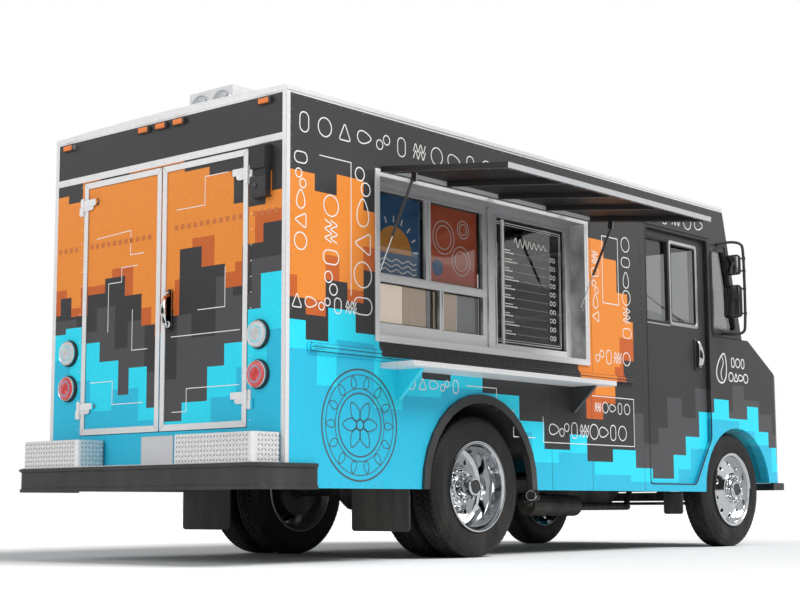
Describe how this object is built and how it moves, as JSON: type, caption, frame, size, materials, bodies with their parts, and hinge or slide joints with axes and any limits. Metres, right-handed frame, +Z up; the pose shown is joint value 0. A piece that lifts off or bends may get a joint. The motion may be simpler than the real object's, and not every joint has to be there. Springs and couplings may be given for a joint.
{
  "type": "food truck",
  "caption": "Walk-in step van food truck with a serving hatch under a propped awning, sliding cab doors, twin rear doors and twin rear wheels.",
  "frame": {"origin": "on the ground, under the middle of everything the truck reaches with its awning open as stored", "axes": "+X forward, +Y to the vehicle's left, +Z up"},
  "size_m": [6.88, 3.6812, 3.27],
  "materials": {
    "body_paint": "satin",
    "light_metal": "satin",
    "steel": "brushed",
    "black_steel": "satin",
    "black_rubber": "matte",
    "tyre": "matte",
    "chrome": "polished",
    "glass": "clear",
    "dash_plastic": "matte",
    "seat": "matte"
  },
  "bodies": {
    "truck": {"right_wall": "body_paint", "left_wall": "body_paint", "roof": "body_paint", "rear_frame": "body_paint", "cab_shell": "body_paint", "nose": "body_paint", "rear_arch_flare_right": "black_rubber", "rear_arch_flare_left": "black_rubber", "cab_glass": "glass", "serving_hatch": "light_metal", "serving_glass": "glass", "serving_shelf": "light_metal", "floor": "black_steel", "chassis_frame": "black_steel", "rear_axle": "black_steel", "front_axle": "black_steel", "drive_shaft": "black_steel", "engine_block": "black_steel", "exhaust_pipe": "black_steel", "fuel_tank": "black_steel", "rear_bumper": "black_steel", "rear_steps": "light_metal", "front_bumper": "black_steel", "mud_flaps_rear": "black_rubber", "mud_flap_front_right": "black_rubber", "mud_flap_front_left": "black_rubber", "mirror_right": "black_steel", "mirror_left": "black_steel", "roof_unit": "light_metal", "bulkhead": "body_paint", "kitchen_cabinets": "steel", "serving_counter": "steel", "driver_seat": "seat", "dash": "dash_plastic"},
    "rear_door_right": {"rear_door_right": "body_paint"},
    "rear_door_left": {"rear_door_left": "body_paint"},
    "cab_door_right": {"cab_door_right": "body_paint", "cab_door_glass_right": "glass"},
    "cab_door_left": {"cab_door_left": "body_paint", "cab_door_glass_left": "glass"},
    "hood": {"hood": "body_paint"},
    "awning": {"awning": "body_paint"},
    "strut_tube_rear": {"gas_strut_tube_rear": "black_steel"},
    "strut_rod_rear": {"gas_strut_rod_rear": "chrome"},
    "strut_tube_front": {"gas_strut_tube_front": "black_steel"},
    "strut_rod_front": {"gas_strut_rod_front": "chrome"},
    "knuckle_right": {"steering_knuckle_right": "black_steel"},
    "knuckle_left": {"steering_knuckle_left": "black_steel"},
    "tie_rod": {"tie_rod": "black_steel"},
    "wheel_front_right": {"rim_front_right": "chrome", "tyre_front_right": "tyre"},
    "wheel_front_left": {"rim_front_left": "chrome", "tyre_front_left": "tyre"},
    "wheel_rear_right": {"rim_rear_right": "chrome", "tyre_rear_outer_right": "tyre", "tyre_rear_inner_right": "tyre"},
    "wheel_rear_left": {"rim_rear_left": "chrome", "tyre_rear_outer_left": "tyre", "tyre_rear_inner_left": "tyre"}
  },
  "joints": [
    {"name": "rear_door_right_hinge", "type": "hinge", "parent": "truck", "child": "rear_door_right", "pos_m": [-3.194, -0.39542, 1.75], "axis": [0, 0, 1], "range_deg": [0, 120]},
    {"name": "rear_door_left_hinge", "type": "hinge", "parent": "truck", "child": "rear_door_left", "pos_m": [-3.194, 1.28658, 1.75], "axis": [0, 0, -1], "range_deg": [0, 120]},
    {"name": "cab_door_right_slide", "type": "slide", "parent": "truck", "child": "cab_door_right", "axis": [-1, 0, 0], "range_m": [0, 0.79]},
    {"name": "cab_door_left_slide", "type": "slide", "parent": "truck", "child": "cab_door_left", "axis": [-1, 0, 0], "range_m": [0, 0.79]},
    {"name": "hood_hinge", "type": "hinge", "parent": "truck", "child": "hood", "pos_m": [2.75, 0.44558, 1.837], "axis": [0, -1, 0], "range_deg": [0, 60]},
    {"name": "awning_hinge", "type": "hinge", "parent": "truck", "child": "awning", "pos_m": [-1.092, -0.76942, 2.585], "axis": [1, 0, 0], "range_deg": [0, 83.2]},
    {"name": "strut_pin_rear", "type": "hinge", "parent": "awning", "child": "strut_tube_rear", "pos_m": [-2.283, -1.00637, 2.49703], "axis": [1, 0, 0], "range_deg": [-108.8, 0]},
    {"name": "strut_slide_rear", "type": "slide", "parent": "strut_tube_rear", "child": "strut_rod_rear", "axis": [0, -0.4424, 0.8968], "range_m": [0, 0.2283]},
    {"name": "strut_pin_front", "type": "hinge", "parent": "awning", "child": "strut_tube_front", "pos_m": [0.099, -1.00637, 2.49703], "axis": [1, 0, 0], "range_deg": [-108.8, 0]},
    {"name": "strut_slide_front", "type": "slide", "parent": "strut_tube_front", "child": "strut_rod_front", "axis": [0, -0.4424, 0.8968], "range_m": [0, 0.2283]},
    {"name": "steer_right", "type": "hinge", "parent": "truck", "child": "knuckle_right", "pos_m": [2.454, -0.39942, 0.497], "axis": [0, 0, 1], "range_deg": [-30, 30]},
    {"name": "steer_left", "type": "hinge", "parent": "truck", "child": "knuckle_left", "pos_m": [2.454, 1.29058, 0.497], "axis": [0, 0, 1], "range_deg": [-30, 30]},
    {"name": "tie_rod_joint", "type": "hinge", "parent": "knuckle_right", "child": "tie_rod", "pos_m": [2.274, -0.39942, 0.395], "axis": [0, 0, 1], "range_deg": [-30, 30]},
    {"name": "wheel_front_right_spin", "type": "hinge", "parent": "knuckle_right", "child": "wheel_front_right", "pos_m": [2.454, -0.57492, 0.497], "axis": [0, 1, 0], "continuous": true},
    {"name": "wheel_front_left_spin", "type": "hinge", "parent": "knuckle_left", "child": "wheel_front_left", "pos_m": [2.454, 1.46608, 0.497], "axis": [0, 1, 0], "continuous": true},
    {"name": "wheel_rear_right_spin", "type": "hinge", "parent": "truck", "child": "wheel_rear_right", "pos_m": [-1.206, -0.57492, 0.497], "axis": [0, 1, 0], "continuous": true},
    {"name": "wheel_rear_left_spin", "type": "hinge", "parent": "truck", "child": "wheel_rear_left", "pos_m": [-1.206, 1.46608, 0.497], "axis": [0, 1, 0], "continuous": true}
  ],
  "couplings": [
    {"joint": "strut_pin_rear", "follows": "awning_hinge", "ratio": -1.307},
    {"joint": "strut_slide_rear", "follows": "awning_hinge", "m_per_rad": 0.1571},
    {"joint": "strut_pin_front", "follows": "awning_hinge", "ratio": -1.307},
    {"joint": "strut_slide_front", "follows": "awning_hinge", "m_per_rad": 0.1571},
    {"joint": "steer_left", "follows": "steer_right", "ratio": 1},
    {"joint": "tie_rod_joint", "follows": "steer_right", "ratio": -1}
  ]
}
